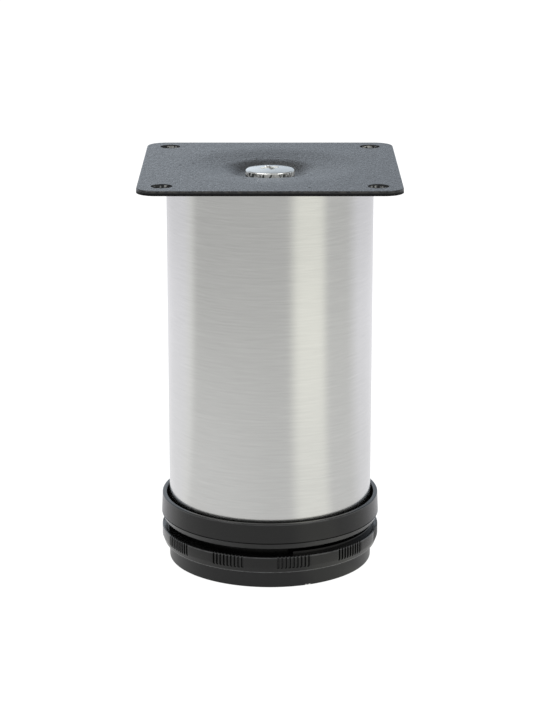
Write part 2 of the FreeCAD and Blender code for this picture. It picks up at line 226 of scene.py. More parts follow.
class FootSizes(bpy.types.PropertyGroup):
    """Sizes of the screw-in foot."""
    radius: length("Band radius", "Radius of the grip band", FOOT_BOX[1].x)
    bottom: length("Bottom", "Lower edge of the band", FOOT_BOX[0].z)
    stem_top: length("Stem top", "Top of the stem", FOOT_BOX[1].z)
    band: mm("Band height", "Height of the grip band", 5.2)
    straight: mm("Straight", "Height of the band's upright part", 3.0)
    taper: mm("Taper", "How much the band narrows", 0.8)
    edge: mm("Edge", "Round on the band's top edge", 0.3)
    low_edge: mm("Low edge", "Round on the band's lower edge", 0.8)
    web: mm("Web", "Thickness of the flange", 2.4)
    wall: mm("Wall", "Thickness of the band's wall", 1.9)
    hub: mm("Hub bore", "Bore for the pad's post", 5.08)
    hub_wall: mm("Hub wall", "Thickness of the hub", 3.0)
    stem: mm("Stem radius", "Radius over the thread", 26.5)
    stem_wall: mm("Stem wall", "Thickness of the stem", 2.2)
    chamfer: mm("Stem chamfer", "Chamfer at the top of the stem", 0.8)
    lead: mm("Thread lead", "Rise of the thread in one turn", 4.0)
    thread: mm("Thread depth", "Depth of the thread", 0.9)
    ribs: count("Ribs", "Ribs under the flange", 10)
    rib: mm("Rib", "Thickness of a rib", 1.8)
    grip_sets: count("Grip sets", "Sets round the band", 2)
    grip_groups: count("Grip groups", "Groups in a set", 5)
    grip_grooves: count("Grip grooves", "Grooves in a group", 9)
    grip_turn: turn("Grip turn", "Turn of the first set's middle", 12.2)
    grip_step: turn("Grip step", "Turn from group to group", 34.6)
    grip_pitch: turn("Grip pitch", "Turn from groove to groove", 2.0)
    grip_length: mm("Grip length", "Length of a groove", 3.5)
    grip_depth: mm("Grip depth", "Depth of a groove", 0.6)
    grip_mouth: mm("Grip mouth", "Width of a groove's mouth", 0.72)
    grip_floor: mm("Grip floor", "Width of a groove at its floor", 0.36)
    lands: count("Stop lands", "Stop lands on top of the flange", 2)
    land_turn: turn("Land turn", "Start of the first land", 12.5)
    land_sweep: turn("Land sweep", "Turn that a land covers", 90.0)
    land_radius: mm("Land radius", "Outside radius of the lands", 30.8)
    land_width: mm("Land width", "Width of a land", 3.2)
    land_height: mm("Land height", "Height of a land", 1.1)


class PadSizes(bpy.types.PropertyGroup):
    """Sizes of the glide pad."""
    radius: length("Radius", "Radius of the pad", PAD_BOX[1].x)
    height: mm("Height", "Height of the pad's disc", 4.7)
    edge: mm("Edge", "Round on the pad's edges", 0.3)
    groove_first: mm("First groove", "Radius of the innermost groove", 12.0)
    groove_pitch: mm("Groove pitch", "Distance between grooves", 6.0)
    grooves: count("Grooves", "Grooves underneath", 3)
    groove_width: mm("Groove width", "Width of a groove", 1.6)
    groove_depth: mm("Groove depth", "Depth of a groove", 0.6)
    nick_turn: turn("Nick turn", "Turn of the first nick", 20.5)
    nick_pitch: turn("Nick pitch", "Turn from nick to nick", 1.9)
    nicks: count("Nicks", "Nicks in the lower edge", 2)
    nick: mm("Nick size", "Radius of a nick", 0.35)
    post: mm("Post radius", "Radius of the snap post", 5.0)
    post_bore: mm("Post bore", "Radius of the hollow in the post", 2.6)
    post_top: length("Post top", "Top of the post", PAD_BOX[1].z)
    barb: mm("Barb", "How far the barb stands out", 0.7)
    barb_land: mm("Barb land", "Height of the barb's upright face", 0.8)
    barb_taper: mm("Barb taper", "Height of the barb's lead-in", 1.6)
    slot: mm("Slot", "Width of the slots in the post", 1.2)


class ScrewSizes(bpy.types.PropertyGroup):
    """Sizes of the tie screw."""
    radius: mm("Radius", "Radius over the thread", 4.0)
    end: length("End", "Height of the screw's point", SCREW_BOX[0].z)
    seat: mm("Seat", "Underside of the head", 115.65)
    point: mm("Point", "Chamfer at the point", 0.8)
    pitch: mm("Thread pitch", "Pitch of the thread", 1.25)
    thread: mm("Thread depth", "Depth of the thread", 0.65)
    threaded: mm("Threaded length", "Length of the thread", 40.0)
    head: length("Head radius", "Radius of the head", SCREW_BOX[1].x)
    rim: mm("Rim", "Height of the head's rim", 1.2)
    shoulder: mm("Shoulder", "Round between rim and dome", 0.45)
    dome: mm("Dome", "Rise of the dome", 0.6)
    recess_turn: turn("Recess turn", "Turn of the cross recess", 20.0)
    recess_span: mm("Recess span", "Length of the cross", 5.8)
    recess_wing: mm("Recess wing", "Width of a wing of the cross", 1.5)
    recess_depth: mm("Recess depth", "Depth of the cross", 1.8)
    recess_taper: level("Recess taper", "Size of the cross at its floor", 0.6)


class PlateSizes(bpy.types.PropertyGroup):
    """Sizes of the mounting plate that its finish needs."""
    side: length("Half side", "From the middle to the plate's edge", PLATE_BOX[1].x)
    hole: mm("Hole radius", "Radius of the mounting holes", 3.0)
    hole_edge: mm("Hole to edge", "Distance from hole to plate edge", 7.0)


class LegColours(bpy.types.PropertyGroup):
    """Colours of the finishes."""
    coat_dark: colour("Coat, dark", "Hollows of the powder coat", (0.0085, 0.0092, 0.0106))
    coat_light: colour("Coat, light", "Raised grain of the coat", (0.0230, 0.0248, 0.0280))
    # Painted shade on the foot of the plate's cut edge and a painted highlight along its top
    coat_edge_shade: colour("Coat, edge", "Foot of the plate's cut edge", (0.0022, 0.0024, 0.0030))
    coat_edge_highlight: colour("Coat, rubbed", "Top of the plate's cut edge", (0.046, 0.044, 0.041))
    steel: colour("Brushed steel", "Steel of the tube", (0.625, 0.625, 0.618))
    steel_streak: colour("Steel streaks", "Lighter streaks of the tube", (0.715, 0.715, 0.706))
    zinc: colour("Zinc", "Plating of screw and nut", (0.630, 0.632, 0.612))
    zinc_tint: colour("Zinc tint", "Clouds in the plating", (0.500, 0.506, 0.492))
    # Screw head's rim under the shoulder: dark ticks are painted dark reflections, the pale matt
    # rim a painted highlight
    zinc_dark_reflection: colour("Zinc, dark", "Ticks on the screw head's rim", (0.062, 0.066, 0.063))
    zinc_pale_highlight: colour("Zinc, pale", "Matt screw head's rim", (0.780, 0.790, 0.785))
    black: colour("Black plastic", "Socket, foot and plug", (0.0034, 0.0034, 0.0035))
    black_worn: colour("Black, worn", "Scuffs on the black plastic", (0.016, 0.016, 0.0155))
    # Lines painted lighter on the black plastic's edges: painted highlights, on the collar's
    # chamfer partly wear
    highlight_and_wear: colour("Rubbed edges", "Edges of the black plastic", (0.120, 0.122, 0.126))
    torn: colour("Torn plastic", "Nicks in the pad's edge", (0.72, 0.72, 0.70))
    pad: colour("Pad plastic", "Glide pad", (0.0040, 0.0043, 0.0050))
    pad_worn: colour("Pad, worn", "Scuffs on the pad", (0.018, 0.0185, 0.020))


class StageSettings(bpy.types.PropertyGroup):
    """Camera, floor and light."""
    camera_back: mm("Camera distance", "Camera in front of the leg", 674.8)
    camera_height: mm("Camera height", "Camera over the floor", 249.0)
    camera_pitch: turn("Camera pitch", "How far the camera looks down", 15.64)
    focal: level("Lens", "Focal length in millimetres", 118.62)
    floor: length("Floor", "Side of the floor", 8.0)
    floor_white: colour("Floor", "Colour of the floor", (0.80, 0.80, 0.80))
    fill: level("Fill level", "Brightness in front and to the left", 0.81)
    softbox: level("Softbox level", "Brightness of the right front", 1.46)
    side: level("Side level", "Brightness at the right side", 0.92)
    flank: level("Flank level", "Brightness where the back begins", 1.31)
    flank_edge: level("Flank edge", "Brightness between flank and fill", 1.2183)
    back: level("Back level", "Brightness behind", 1.30)
    near_level: level("Near level", "Brightness of the near floor", 0.66)
    near_left: level("Near left", "Gain of the near floor's left", 0.12)
    dark: level("Dark level", "Brightness between backdrop and ceiling", 0.20)
    ceiling: level("Ceiling level", "Brightness overhead", 0.95)
    fill_tint: colour("Fill tint", "Colour of the fill", (1.0, 1.0, 0.978))
    softbox_tint: colour("Softbox tint", "Colour of the softbox", (1.0, 1.0, 0.92))
    back_tint: colour("Back tint", "Colour of the back", (0.962, 0.957, 1.0))
    backdrop_left: colour("Backdrop left", "Backdrop on the left", (0.645, 0.705, 0.775))
    backdrop_right: colour("Backdrop right", "Backdrop on the right", (0.475, 0.525, 0.585))
    key: level("Key power", "Lamp overhead to the left, in watts", 5.0)
    strip: level("Strip power", "Lamp overhead to the right, in watts", 2.0)


def smooth_step(x):
    """0 below 0, 1 above 1, and 3x^2 - 2x^3 between."""
    x = np.clip(x, 0.0, 1.0)
    return x * x * (3.0 - 2.0 * x)


def even_turns(columns):
    """Equal turns round the axis."""
    return np.linspace(0.0, FULL_TURN, columns, endpoint=False)


def turn_to_nearest(turns, middles):
    """Turn from each place to the nearest middle, the shorter way round."""
    between = np.mod(turns[:, None] - middles + math.pi, FULL_TURN) - math.pi
    return np.abs(between).min(axis=1)


def centred(number, step):
    """Equal steps on both sides of zero."""
    return (np.arange(number) - (number - 1) / 2.0) * step


def unit(vectors):
    """Vectors divided by their lengths; a zero vector stays zero."""
    lengths = np.linalg.norm(vectors, axis=-1, keepdims=True)
    return vectors / np.maximum(lengths, LEAST_LENGTH)


def rounded(corners):
    """Closed outline through (radius, height) corners, as a column of radii and one of heights; a
    third value rounds the corner. A round is the arc tangent to both runs, its points turned
    evenly from start to end about its centre, with one more point close before and after it that
    keeps the runs flat."""
    point = np.array([c[:2] for c in corners])
    radius = np.array([c[2] if len(c) > 2 else 0.0 for c in corners])
    to_before = np.roll(point, 1, axis=0) - point
    to_after = np.roll(point, -1, axis=0) - point
    into, out = unit(to_before), unit(to_after)
    half = np.arccos(np.clip((into * out).sum(axis=1), -1.0, 1.0)) / 2.0
    setback = radius / np.tan(np.maximum(half, LEAST_TURN))
    centre = point + unit(into + out) * (radius / np.sin(half))[:, None]
    start = point + into * setback[:, None]
    end = point + out * setback[:, None]
    sweep = np.maximum(math.pi - 2.0 * half, LEAST_TURN)[:, None, None]
    t = np.linspace(0.0, 1.0, ARC_STEPS + 1)[None, :, None]
    spokes = (np.sin((1.0 - t) * sweep) * (start - centre)[:, None]
              + np.sin(t * sweep) * (end - centre)[:, None])
    arc = centre[:, None] + spokes / np.sin(sweep)
    free_before = np.linalg.norm(to_before, axis=1) - setback - np.roll(setback, 1)
    free_after = np.linalg.norm(to_after, axis=1) - setback - np.roll(setback, -1)
    near = start + into * np.minimum(ARC_SUPPORT, free_before / 4.0)[:, None]
    far = end + out * np.minimum(ARC_SUPPORT, free_after / 4.0)[:, None]
    rows = np.concatenate([near[:, None], arc, far[:, None]], axis=1)
    is_round = radius > 0.0
    rows = np.where(is_round[:, None, None], rows, point[:, None])
    keep = np.repeat(is_round[:, None], rows.shape[1], axis=1)
    keep[:, 0] = True
    return np.split(rows[keep], 2, axis=1)


def swept(radius, turns, height):
    """Points at x = radius sin(turn), y = -radius cos(turn), z = height, row by row."""
    radius, turns, height = np.broadcast_arrays(radius, turns, height)
    return np.stack([radius * np.sin(turns), -radius * np.cos(turns), height], axis=-1)


def grid_faces(rows, columns, close_rows, close_columns):
    """Four-sided faces between neighbours of a grid, wrapped round where it is closed."""
    i = np.arange(rows if close_rows else rows - 1)[:, None]
    j = np.arange(columns if close_columns else columns - 1)[None, :]
    i_next, j_next = (i + 1) % rows, (j + 1) % columns
    here, there = i * columns, i_next * columns
    corners = [here + j, here + j_next, there + j_next, there + j]
    return np.stack(np.broadcast_arrays(*corners), axis=-1).reshape(-1, 4).tolist()


def ring_shell(radius, turns, height):
    """Shell of a closed outline turned about the axis; its radius may change with the turn."""
    points = swept(radius, turns, height)
    rows, columns = points.shape[:2]
    return points.reshape(-1, 3), grid_faces(rows, columns, True, True)


def disc_shell(points, low, high):
    """Shell of a grid of rings, closed at each end by a fan to a point on the axis."""
    rows, columns = points.shape[:2]
    vertices = np.concatenate([points.reshape(-1, 3), [[0.0, 0.0, low], [0.0, 0.0, high]]])
    faces = grid_faces(rows, columns, False, True)
    j = np.arange(columns)
    j_next = (j + 1) % columns
    last = (rows - 1) * columns
    pole = np.full(columns, rows * columns)
    faces += np.stack([pole, j_next, j], axis=-1).tolist()
    faces += np.stack([last + j, last + j_next, pole + 1], axis=-1).tolist()
    return vertices, faces


def bar_shell(points):
    """Shell of a closed outline carried along the columns, with a flat face at each end."""
    rows, columns = points.shape[:2]
    faces = grid_faces(rows, columns, True, False)
    first = np.arange(rows) * columns
    faces.append(first.tolist())
    faces.append((first + columns - 1)[::-1].tolist())
    return points.reshape(-1, 3), faces


def make_piece(name, shells, material, body, node):
    """Object of the shells joined in one mesh; it rides on a body and stands for a CAD node."""
    vertices, faces, first = [], [], 0
    for points, corners in shells:
        vertices.append(points)
        faces += [[first + k for k in face] for face in corners]
        first += len(points)
    mesh = bpy.data.meshes.new(name)
    mesh.from_pydata(np.concatenate(vertices).tolist(), [], faces)
    mesh.shade_smooth()
    mesh.set_sharp_from_angle(angle=SHARP_ANGLE)
    mesh.materials.append(material)
    piece = bpy.data.objects.new(name, mesh)
    bpy.context.scene.collection.objects.link(piece)
    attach(piece, body)
    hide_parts(node)


def dress(node, material):
    """Gives a CAD node its finish."""
    mesh = frame["nodes"][node].data
    mesh.materials.clear()
    mesh.materials.append(material)


class Wire:
    """A node's output. Arithmetic on it adds Math nodes to its tree."""

    def __init__(self, tree, socket=None):
        self.tree = tree
        self.socket = socket

    def node(self, kind, inputs=None, settings=None, output=0):
        """Adds a node with its sockets' values or links and its settings, a colour ramp's stops
        among them; gives an output."""
        made = self.tree.nodes.new(kind)
        for key, value in (settings or {}).items():
            if key == "stops":
                ramp = made.color_ramp.elements
                while len(ramp) < len(value):
                    ramp.new(1.0)
                for element, (position, shade) in zip(ramp, value):
                    element.position = position
                    element.color = shade
            else:
                setattr(made, key, value)
        for key, value in (inputs or {}).items():
            if isinstance(value, Wire):
                self.tree.links.new(value.socket, made.inputs[key])
            else:
                made.inputs[key].default_value = value
        return Wire(self.tree, made.outputs[output] if made.outputs else None)

    def math(self, operation, *values):
        """One Math node."""
        return self.node("ShaderNodeMath", dict(enumerate(values)), {"operation": operation})

    def __add__(self, other):
        return self.math("ADD", self, other)

    __radd__ = __add__

    def __sub__(self, other):
        return self.math("SUBTRACT", self, other)

    def __rsub__(self, other):
        return self.math("SUBTRACT", other, self)

    def __mul__(self, other):
        return self.math("MULTIPLY", self, other)

    __rmul__ = __mul__

    def __truediv__(self, other):
        return self.math("DIVIDE", self, other)

    def __rtruediv__(self, other):
        return self.math("DIVIDE", other, self)

    def __abs__(self):
        return self.math("ABSOLUTE", self)

    def mix(self, start, end):
        """Colour between two colours by this value."""
        return self.node("ShaderNodeMix", {0: self, 6: start, 7: end}, {"data_type": "RGBA"}, 2)

    def ramp(self, low, high):
        """0 at low and 1 at high, even between and level beyond."""
        sockets = {"Value": self, "From Min": low, "From Max": high}
        return self.node("ShaderNodeMapRange", sockets)

    def noise(self, scale, detail=2.0, roughness=0.5):
        """Noise of about 1 / scale metres on this vector."""
        sockets = {"Vector": self, "Scale": scale, "Detail": detail, "Roughness": roughness}
        return self.node("ShaderNodeTexNoise", sockets)

    def vector(self, operation, *values, output=0):
        """One Vector Math node."""
        sockets = dict(enumerate(values))
        return self.node("ShaderNodeVectorMath", sockets, {"operation": operation}, output)

    def upright(self, scale):
        """This vector with its z times a scale."""
        return self.vector("MULTIPLY", self, (1.0, 1.0, scale))

    def bump(self, distance):
        """Normal of a surface raised by this value times a distance."""
        return self.node("ShaderNodeBump", {"Height": self, "Distance": distance})


def new_tree(owner):
    """Emptied nodes of a material or world."""
    owner.use_nodes = True
    owner.node_tree.nodes.clear()
    return Wire(owner.node_tree)


def new_material(name):
    """Empty material and its Object coordinates."""
    material = bpy.data.materials.new(name)
    return material, new_tree(material).node("ShaderNodeTexCoord", output="Object")


def surface(place, sockets):
    """Principled shader to the material's output."""
    shader = place.node("ShaderNodeBsdfPrincipled", sockets)
    place.node("ShaderNodeOutputMaterial", {"Surface": shader})


def axes_of(vector):
    """The x, y and z of a vector."""
    parts = vector.node("ShaderNodeSeparateXYZ", {"Vector": vector}).socket.node.outputs
    return [Wire(vector.tree, part) for part in parts]


def out_from_axis(x, y):
    """Distance from the axis: the root of x squared plus y squared."""
    return x.math("SQRT", x * x + y * y)


def powder_coat(colours, s):
    """Anthracite powder coat: pebbled grain, darker in its hollows, with slow clouds and specks.
    Bare steel glints half-way down the holes. The cut edge gets a painted highlight along its top
    and painted shade at its foot."""
    material, place = new_material("coat_finish")
    pebble = place.noise(1100.0, 1.0, 0.6)
    grain = place.noise(2400.0, 2.0, 0.6)
    cloud = place.noise(110.0, 3.0)
    speck = place.noise(330.0, 1.0).ramp(0.765, 0.785)
    shade = (pebble * 0.6 + grain * 0.3 + cloud * 0.1).ramp(0.36, 0.66)
    x, y, z = axes_of(place)
    x, y = abs(x), abs(y)
    depth = PLATE_BOX[1].z - z
    aside, _, slope = axes_of(place.node("ShaderNodeTexCoord", output="Normal"))
    reach = s.side - s.hole_edge
    in_hole = out_from_axis(x - reach, y - reach).ramp(s.hole + 0.03 * MM, s.hole + 0.01 * MM)
    half_way = depth.ramp(*GLINT_ABOVE) * depth.ramp(*GLINT_BELOW) * abs(aside).ramp(0.80, 0.50)
    bare = in_hole * half_way * place.noise(900.0, 1.0).ramp(0.49, 0.59)
    cut = abs(slope).ramp(0.75, 0.45) * place.math("MAXIMUM", x, y).ramp(reach, s.side - s.hole)
    # Painted shade at the foot of the cut edge: darker, reflecting less and rougher
    foot = cut * depth.ramp(*EDGE_SHADE)
    # Painted highlight along the top of the cut edge, broken up by noise
    edge_highlight = cut * depth.ramp(*EDGE_HIGHLIGHT) * place.noise(700.0, 2.0).ramp(0.42, 0.62)
    coat = edge_highlight.mix(shade.mix(colours.coat_dark, colours.coat_light), colours.coat_edge_highlight)
    surface(place, {
        "Base Color": bare.mix(foot.mix(coat, colours.coat_edge_shade), colours.zinc_tint),
        "Metallic": place.math("MAXIMUM", bare, 0.5 * foot),
        "Roughness": 0.24 + 0.12 * shade + 0.4 * speck + 0.3 * foot,
        "Specular IOR Level": 0.36,
        "Normal": (pebble * 0.7 + grain * 0.3).bump(COAT_GRAIN),
    })
    return material


def brushed_steel(colours):
    """Steel brushed round the tube: long and fine streaks along the turn, and slow stains."""
    material, place = new_material("steel_finish")
    streak = place.upright(30.0).noise(70.0, 4.0, 0.6)
    fine = place.upright(16.0).noise(190.0, 2.0, 0.6)
    stain = place.noise(160.0, 3.0)
    brush = (streak * 0.6 + fine * 0.4).ramp(0.3, 0.7)
    surface(place, {
        "Base Color": (brush * 0.8 + stain * 0.2).mix(colours.steel, colours.steel_streak),
        "Metallic": 1.0,
        "Roughness": 0.15 + 0.05 * brush,
        "Normal": brush.bump(BRUSH_GRAIN),
    })
    return material


def bright_zinc(colours, s):
    """Bright zinc plating with faint clouds and fine marks from tumbling. Below the head's shoulder
    it is painted pale and matt, a painted highlight, with patches of dark upright ticks that are
    painted dark reflections."""
    material, place = new_material("zinc_finish")
    cloud = place.noise(420.0, 3.0)
    mark = place.noise(2600.0, 2.0)
    shoulder = s.seat + s.rim + s.shoulder * 0.5
    # Below the shoulder: a painted highlight, pale and matt, with patches of painted dark
    # reflections in ticks
    rim = axes_of(place)[2].ramp(shoulder + 0.1 * MM, shoulder - 0.1 * MM)
    reflection_patch = place.upright(0.1).noise(260.0, 1.0).ramp(0.34, 0.44)
    dark_reflection_tick = rim * reflection_patch * place.upright(0.35).noise(1500.0, 1.0).ramp(0.42, 0.52)
    plating = rim.mix(cloud.mix(colours.zinc, colours.zinc_tint), colours.zinc_pale_highlight)
    surface(place, {
        "Base Color": dark_reflection_tick.mix(plating, colours.zinc_dark_reflection),
        "Metallic": 1.0 - 0.8 * rim,
        "Roughness": 0.10 + 0.12 * mark + 0.38 * rim,
        "Normal": mark.bump(ZINC_GRAIN),
    })
    return material


def moulded_plastic(name, base, worn, roughness, highlight_and_wear=None, highlight_lines=(), nicks=(), lands=None):
    """Moulded plastic: fine spark-eroded grain, slow flow clouds and sparse pale scuffs. A line
    painted lighter, a painted highlight, is a height, half the width of its line and its strength,
    and shows in short runs. A nick is a point, a size and a colour. Lands start at a height and a
    radius and get
    painted shade: darker, reflecting less."""
    material, place = new_material(name)
    x, y, height = axes_of(place)
    grain = place.noise(3200.0, 2.0)
    cloud = place.noise(140.0, 3.0)
    scuff = place.noise(700.0, 4.0, 0.7).ramp(0.62, 0.78)
    runs = place.noise(420.0, 3.0, 0.6).ramp(0.32, 0.58)
    shade = (scuff * 0.6 + cloud * 0.3).mix(base, worn)
    # Lines painted lighter along edges: painted highlights, on the collar's chamfer partly wear
    for middle, half, strength in highlight_lines:
        line = abs(height - middle).ramp(half, half * 0.6)
        shade = (line * (0.4 + 0.6 * runs) * strength).mix(shade, highlight_and_wear)
    for point, size, torn in nicks:
        off = place.vector("DISTANCE", place, point, output=1)
        shade = off.ramp(size * 1.4, size * 1.2).mix(shade, torn)
    # Painted shade on the lands: darker, reflecting less, for the shade under the collar
    matt = 0.0
    if lands:
        low, inner = lands
        out = out_from_axis(x, y).ramp(inner - 0.3 * MM, inner)
        matt = height.ramp(low, low + 0.1 * MM) * out
    surface(place, {
        "Base Color": shade,
        "Metallic": 0.6 * matt,
        "Roughness": roughness + 0.10 * (cloud - 0.5) + 0.08 * scuff,
        "Specular IOR Level": 0.44,
        "Normal": grain.bump(PLASTIC_GRAIN),
    })
    return material


def black_plastic(name, colours, highlight_lines=(), lands=None):
    """Plastic of plug, socket and foot."""
    return moulded_plastic(name, colours.black, colours.black_worn, BLACK_ROUGHNESS,
                           colours.highlight_and_wear, highlight_lines, lands=lands)


class LEG_OT_tube(bpy.types.Operator):
    """Build the brushed tube"""
    bl_idname = "leg.tube"
    bl_label = "Tube"

    def execute(self, context):
        s = context.scene.leg_tube
        bore = s.radius - s.wall
        radius, height = rounded([
            (bore, s.bottom), (s.radius, s.bottom, s.edge),
            (s.radius, s.top, s.edge), (bore, s.top),
        ])
        shell = ring_shell(radius, even_turns(ROUND_COLUMNS), height)
        material = brushed_steel(context.scene.leg_colours)
        make_piece("brushed_tube", [shell], material, "leg", "leg_tube")
        return {"FINISHED"}


def hexagon_radius(corner, turns):
    """Distance to a hexagon's side: corner radius times cos 30 degrees over the cosine of the turn
    from the middle of that side."""
    sector = math.pi / 3.0
    from_middle = np.mod(turns, sector) - sector / 2.0
    return corner * math.cos(sector / 2.0) / np.cos(from_middle)


class LEG_OT_socket(bpy.types.Operator):
    """Build the moulded socket with its collar, sleeve and nut pocket"""
    bl_idname = "leg.socket"
    bl_label = "Socket"

    def execute(self, context):
        s = context.scene.leg_socket
        tube = context.scene.leg_tube
        collar_top = s.bottom + s.collar
        top_radius = s.radius - s.draft
        pocket_wall = tube.radius + s.clearance
        web_bottom = s.top - s.web
        boss_bottom = web_bottom - s.boss_drop
        nut_corner = NUT_BOX[1].y + s.nut_gap / math.cos(math.pi / 6.0)
        line = s.bottom + s.chamfer_up
        plain, height = rounded([
            (s.bore, s.bottom), (s.radius - s.chamfer_in, s.bottom, s.low_edge),
            (s.radius, line), (s.radius - s.parting * PARTING_DEPTH, line + s.parting / 2.0),
            (s.radius, line + s.parting), (top_radius, collar_top, s.edge),
            (top_radius - s.rim, collar_top, s.edge), (pocket_wall, collar_top - s.lead_in),
            (pocket_wall, tube.bottom), (s.sleeve, tube.bottom),
            (s.sleeve, s.top - s.chamfer), (s.sleeve - s.chamfer, s.top),
            (s.hole, s.top), (s.hole, NUT_BOX[1].z),
            (nut_corner, NUT_BOX[1].z), (nut_corner, boss_bottom),
            (s.boss, boss_bottom, s.edge), (s.boss, web_bottom, s.fillet),
            (s.bore, web_bottom, s.fillet),
        ])
        turns = even_turns(ROUND_COLUMNS)
        in_pocket = np.isclose(plain, nut_corner)
        radius = np.where(in_pocket, hexagon_radius(nut_corner, turns), plain)
        shell = ring_shell(radius, turns, height)
        # Lines painted lighter: a painted highlight on the top rim, and on the lower chamfer
        # painted floor light that is partly wear
        half = s.chamfer_up / 2.0
        highlight_lines = [(collar_top - HIGHLIGHT_DROP, HIGHLIGHT_HALF, HIGHLIGHT_COLLAR),
                (s.bottom + half, half, HIGHLIGHT_CHAMFER)]
        material = black_plastic("collar_finish", context.scene.leg_colours, highlight_lines)
        make_piece("foot_collar", [shell], material, "leg", "foot_socket")
        return {"FINISHED"}


def groove_depth(from_middle, s):
    """Depth of a grip groove at a distance from its middle: full on its floor, easing to nothing at
    its mouth."""
    slope = (s.grip_mouth - s.grip_floor) / 2.0
    return s.grip_depth * smooth_step((s.grip_mouth / 2.0 - np.abs(from_middle)) / slope)


def grip_turns(s):
    """Turns for the band's columns: close together over each groove, wide elsewhere; and the turns
    of the grooves' middles."""
    side = np.array(GRIP_ACROSS)
    across = np.concatenate([-side[::-1], side]) * s.grip_mouth / 2.0
    groove = centred(s.grip_grooves, s.grip_pitch)
    group = centred(s.grip_groups, s.grip_step)
    opposite = s.grip_turn + even_turns(s.grip_sets)
    middles = (opposite[:, None, None] + group[:, None] + groove).ravel()
    over = np.mod(middles[:, None] + across / s.radius, FULL_TURN).ravel()
    plain = even_turns(ROUND_COLUMNS // 2)
    off = turn_to_nearest(plain, middles)
    return np.sort(np.concatenate([over, plain[off > s.grip_pitch / 2.0]])), middles


def band_shell(s):
    """Flange and grip band: the outline turned about the axis, its radius held inside each groove's
    floor above the groove's end."""
    band_top = s.bottom + s.band
    web_bottom = band_top - s.web
    low_radius = s.radius - s.taper
    wall_in = low_radius - s.wall
    hub_out = s.hub + s.hub_wall
    stem_bore = s.stem - s.stem_wall
    groove_end = band_top - s.grip_length
    taper = s.taper / (s.band - s.straight)
    steps = groove_end + GRIP_END * np.linspace(-1.0, 1.0, GRIP_END_ROWS)
    plain, height = rounded([
        (low_radius, s.bottom, s.low_edge),
        *[(low_radius + taper * (z - s.bottom), z) for z in steps],
        (s.radius, band_top - s.straight), (s.radius, band_top, s.edge),
        (s.radius - 2.0 * s.grip_depth, band_top), (s.hub, band_top),
        (s.hub, s.bottom), (hub_out, s.bottom), (hub_out, web_bottom),
        (stem_bore, web_bottom), (stem_bore, s.bottom), (s.stem, s.bottom), (s.stem, web_bottom),
        (wall_in, web_bottom), (wall_in, s.bottom),
    ])
    turns, middles = grip_turns(s)
    off = turn_to_nearest(turns, middles)
    reach = smooth_step((height - groove_end + GRIP_END) / (2.0 * GRIP_END))
    limit = s.radius - groove_depth(off * s.radius, s) * reach
    outside = plain > s.radius - 2.0 * s.grip_depth
    radius = np.where(outside & (reach > 0.0), np.minimum(plain, limit), plain)
    return ring_shell(radius, turns, height)


def thread_form(phase):
    """Depth of a thread over one pitch, from 0 at the crest to 1 at the root: level over a share of
    each half pitch at both, with flanks that ease between."""
    from_root = np.abs(np.mod(phase, 1.0) - 0.5) * 2.0
    return smooth_step((1.0 - THREAD_FLAT - from_root) / (1.0 - 2.0 * THREAD_FLAT))


def stem_shell(s):
    """Hollow stem: outer wall cut by a helix that rises one lead in a turn, fading at both ends."""
    band_top = s.bottom + s.band
    low = band_top - s.web / 2.0
    bore = s.stem - s.stem_wall
    plain, height = rounded([
        (s.stem, low),
        *[(s.stem, z) for z in np.linspace(band_top, s.stem_top - s.chamfer, STEM_ROWS)],
        (s.stem - s.chamfer, s.stem_top), (bore, s.stem_top), (bore, low),
    ])
    turns = even_turns(STEM_COLUMNS)
    phase = (height - band_top) / s.lead - turns / FULL_TURN
    fade = smooth_step((height - band_top) / s.lead)
    fade = fade * smooth_step((s.stem_top - height) / s.chamfer)
    cut = s.thread * thread_form(phase) * fade
    radius = np.where(plain > s.stem - s.chamfer / 2.0, plain - cut, plain)
    return ring_shell(radius, turns, height)


def land_shells(s):
    """Stop lands: a small rounded outline carried along part of a turn."""
    band_top = s.bottom + s.band
    low = band_top - s.web / 2.0
    high = band_top + s.land_height
    inner = s.land_radius - s.land_width
    edge = s.edge / 2.0
    radius, height = rounded([
        (s.land_radius, low), (s.land_radius, high, edge), (inner, high, edge), (inner, low),
    ])
    sweep = np.linspace(0.0, s.land_sweep, LAND_COLUMNS)
    starts = s.land_turn + np.arange(s.lands) * FULL_TURN / s.lands
    return [bar_shell(swept(radius, start + sweep, height)) for start in starts]


def rib_shells(s):
    """Ribs under the flange: an upright outline given its thickness across the radius."""
    band_top = s.bottom + s.band
    inner = s.hub + s.hub_wall - s.wall / 2.0
    outer = s.radius - s.taper - s.wall / 2.0
    top = band_top - s.web / 2.0
    along = np.array([outer, outer, inner, inner])
    up = np.array([s.bottom, top, top, s.bottom])
    across = np.array([-0.5, 0.5]) * s.rib
    shells = []
    for angle in even_turns(s.ribs) + math.pi / 2.0:
        x = along[:, None] * math.sin(angle) + across * math.cos(angle)
        y = -along[:, None] * math.cos(angle) + across * math.sin(angle)
        shells.append(bar_shell(np.stack(np.broadcast_arrays(x, y, up[:, None]), axis=-1)))
    return shells


